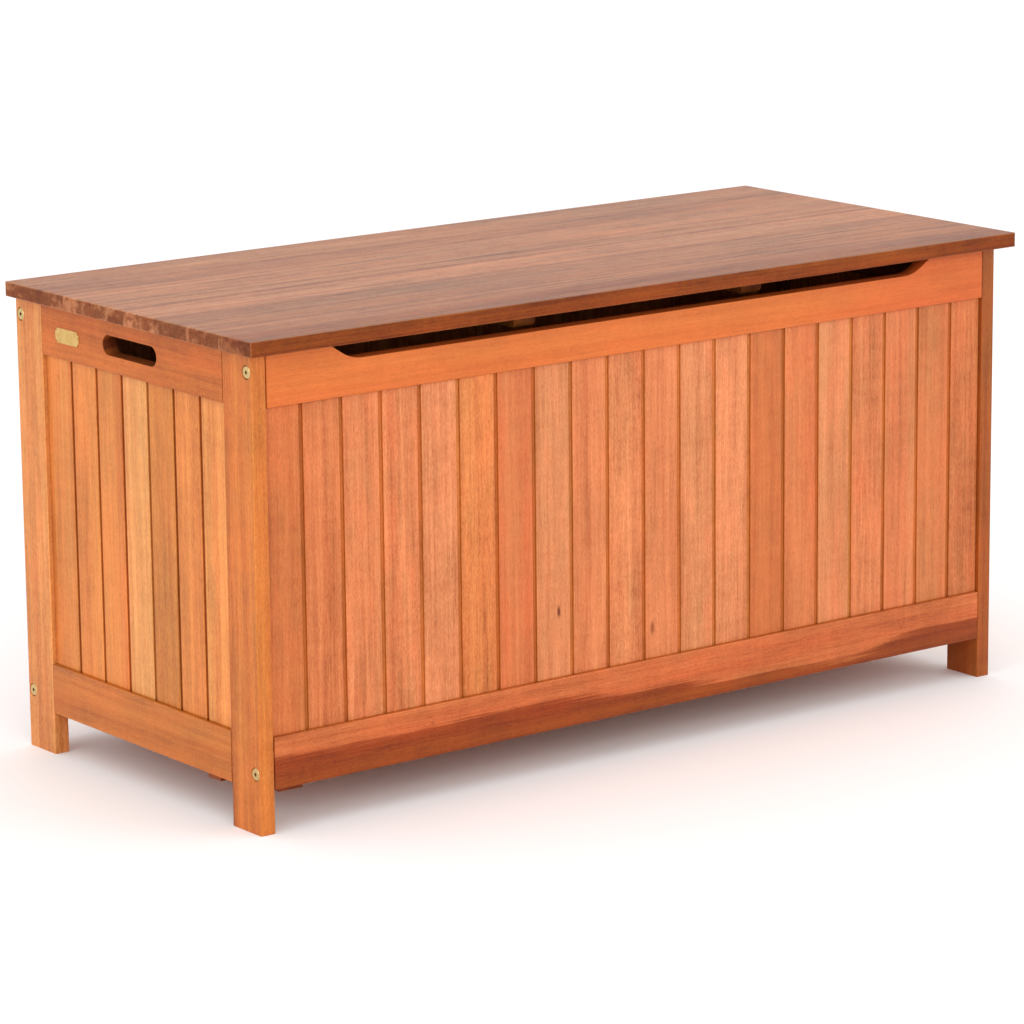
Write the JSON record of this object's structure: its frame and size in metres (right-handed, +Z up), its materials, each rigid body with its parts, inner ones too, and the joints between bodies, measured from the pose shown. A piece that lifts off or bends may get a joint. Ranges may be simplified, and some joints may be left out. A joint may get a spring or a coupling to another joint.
{
  "type": "deck storage box",
  "caption": "Slatted wooden deck storage box: legs, rails and tongue and groove panels, handle slots, and a hinged overhanging lid held open by slotted stays.",
  "frame": {"origin": "on the ground, under the middle of the box's overall length and depth", "axes": "+X along the long side to the right as seen from the front, +Y from the front to the back, +Z up"},
  "size_m": [1.17, 0.538, 0.582],
  "materials": {
    "leg_wood": "oiled, satin",
    "rail_wood": "oiled, satin",
    "end_rail_wood": "oiled, satin",
    "front_board_wood": "oiled, satin, grooved by the board edges",
    "end_board_wood": "oiled, satin, grooved by the board edges",
    "floor_wood": "oiled, matt",
    "lid_wood": "oiled, satin, edge-glued staves",
    "batten_wood": "oiled, matt",
    "hinge_steel": "zinc plated",
    "stay_steel": "zinc plated",
    "yellow_zinc": "yellow zinc plated, satin",
    "fastener_steel": "zinc plated",
    "dowel_wood": "fluted beech, glued",
    "plate_brass": "stamped brass, satin, blank"
  },
  "bodies": {
    "case": {"front_left_leg": "leg_wood", "front_right_leg": "leg_wood", "back_left_leg": "leg_wood", "back_right_leg": "leg_wood", "front_top_rail": "rail_wood", "front_bottom_rail": "rail_wood", "back_top_rail": "rail_wood", "back_bottom_rail": "rail_wood", "left_top_rail": "end_rail_wood", "left_bottom_rail": "end_rail_wood", "right_top_rail": "end_rail_wood", "right_bottom_rail": "end_rail_wood", "front_board_1": "front_board_wood", "front_board_2": "front_board_wood", "front_board_3": "front_board_wood", "front_board_4": "front_board_wood", "front_board_5": "front_board_wood", "front_board_6": "front_board_wood", "front_board_7": "front_board_wood", "front_board_8": "front_board_wood", "front_board_9": "front_board_wood", "front_board_10": "front_board_wood", "front_board_11": "front_board_wood", "front_board_12": "front_board_wood", "front_board_13": "front_board_wood", "front_board_14": "front_board_wood", "front_board_15": "front_board_wood", "front_board_16": "front_board_wood", "front_board_17": "front_board_wood", "front_board_18": "front_board_wood", "front_board_19": "front_board_wood", "front_board_20": "front_board_wood", "back_boards": "front_board_wood", "left_board_1": "end_board_wood", "left_board_2": "end_board_wood", "left_board_3": "end_board_wood", "left_board_4": "end_board_wood", "left_board_5": "end_board_wood", "left_board_6": "end_board_wood", "left_board_7": "end_board_wood", "right_boards": "end_board_wood", "floor_ledgers": "floor_wood", "floor_boards": "floor_wood", "corner_floor_strips": "floor_wood", "hinge_case_leaves": "hinge_steel", "hinge_pins": "hinge_steel", "stay_wall_plates": "stay_steel", "connecting_bolts": "yellow_zinc", "barrel_nuts": "fastener_steel", "case_screws": "fastener_steel", "dowels": "dowel_wood", "name_plate": "plate_brass"},
    "lid": {"lid_panel": "lid_wood", "left_lid_batten": "batten_wood", "right_lid_batten": "batten_wood", "hinge_lid_leaves": "hinge_steel", "stay_lid_brackets": "stay_steel", "lid_screws": "fastener_steel"},
    "left_stay": {"left_stay_arm": "stay_steel"},
    "right_stay": {"right_stay_arm": "stay_steel"}
  },
  "joints": [
    {"name": "lid_hinge", "type": "hinge", "parent": "case", "child": "lid", "pos_m": [0, 0.2652, 0.56375], "axis": [-1, 0, 0], "range_deg": [0, 95]},
    {"name": "left_stay_pivot", "type": "hinge", "parent": "lid", "child": "left_stay", "pos_m": [-0.546, 0.11566, 0.552], "axis": [1, 0, 0], "range_deg": [0, 47.5]},
    {"name": "right_stay_pivot", "type": "hinge", "parent": "lid", "child": "right_stay", "pos_m": [0.546, 0.11566, 0.552], "axis": [1, 0, 0], "range_deg": [0, 47.5]}
  ],
  "couplings": [
    {"joint": "left_stay_pivot", "follows": "lid_hinge", "ratio": 0.5},
    {"joint": "right_stay_pivot", "follows": "lid_hinge", "ratio": 0.5}
  ]
}
